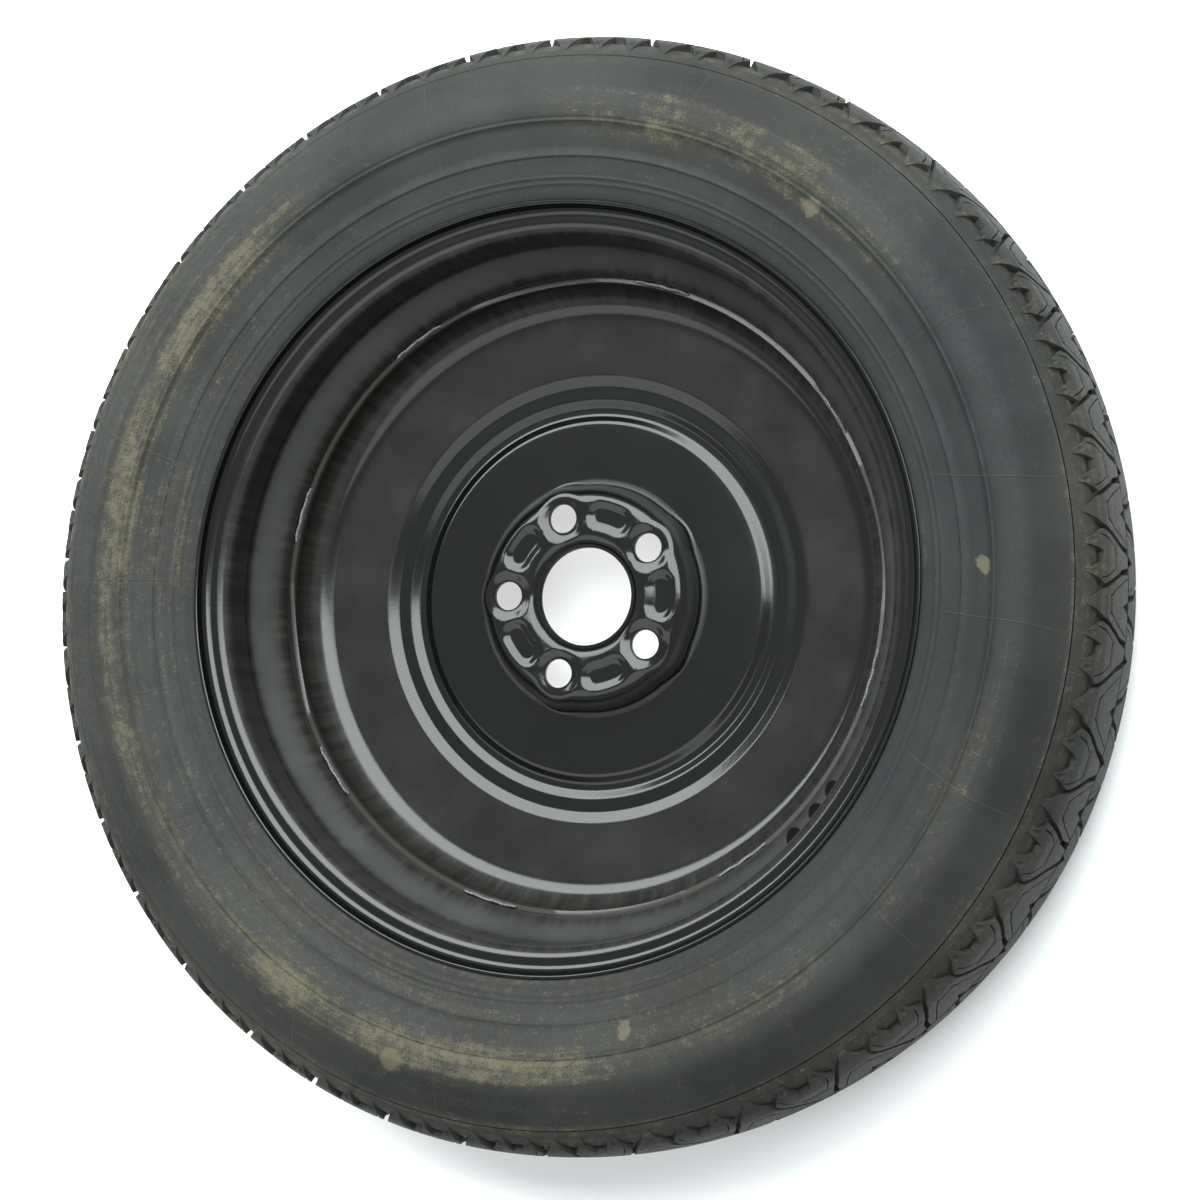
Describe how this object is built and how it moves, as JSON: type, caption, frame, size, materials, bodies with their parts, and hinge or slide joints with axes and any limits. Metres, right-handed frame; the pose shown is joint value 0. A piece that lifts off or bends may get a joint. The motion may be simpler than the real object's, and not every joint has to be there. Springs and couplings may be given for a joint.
{
  "type": "space saver spare wheel",
  "caption": "Narrow temporary spare wheel: pressed steel disc welded into a drop-centre rim, with a tubeless radial tyre and a snap-in valve.",
  "frame": {"origin": "under the centre of the wheel, on the floor that its outboard sidewall lies on", "axes": "+Z along the wheel's axis towards the car; +X towards the valve"},
  "size_m": [0.726, 0.726, 0.155],
  "materials": {
    "tyre_rubber": "dusty black rubber with a slate tint",
    "rim_paint": "gloss black paint with a brown dust film in the barrel",
    "disc_paint": "gloss black paint",
    "weld_steel": "rough weld bead under thin black paint",
    "valve_rubber": "matt",
    "valve_brass": "turned",
    "seal_red": "matt",
    "pin_steel": "drawn wire",
    "cap_plastic": "moulded"
  },
  "bodies": {
    "wheel": {"tyre": "tyre_rubber", "rim": "rim_paint", "disc": "disc_paint", "disc_welds": "weld_steel", "valve_body": "valve_rubber", "valve_stem": "valve_brass", "core_barrel": "valve_brass", "core_seal": "seal_red", "valve_spring": "pin_steel"},
    "valve_pin": {"valve_pin": "pin_steel", "pin_cup": "valve_brass", "pin_seal": "valve_rubber"},
    "valve_cap": {"valve_cap": "cap_plastic", "cap_seal": "valve_rubber"}
  },
  "joints": [
    {"name": "valve_pin_press", "type": "slide", "parent": "wheel", "child": "valve_pin", "axis": [0.4226, 0, 0.9063], "range_m": [0, 0.0015], "stiffness_N_per_m": 2000, "springref_m": -0.001, "deforming": ["valve_spring"]},
    {"name": "valve_cap_lift", "type": "slide", "parent": "wheel", "child": "valve_cap", "axis": [-0.4226, 0, -0.9063], "range_m": [0, 0.045]}
  ]
}
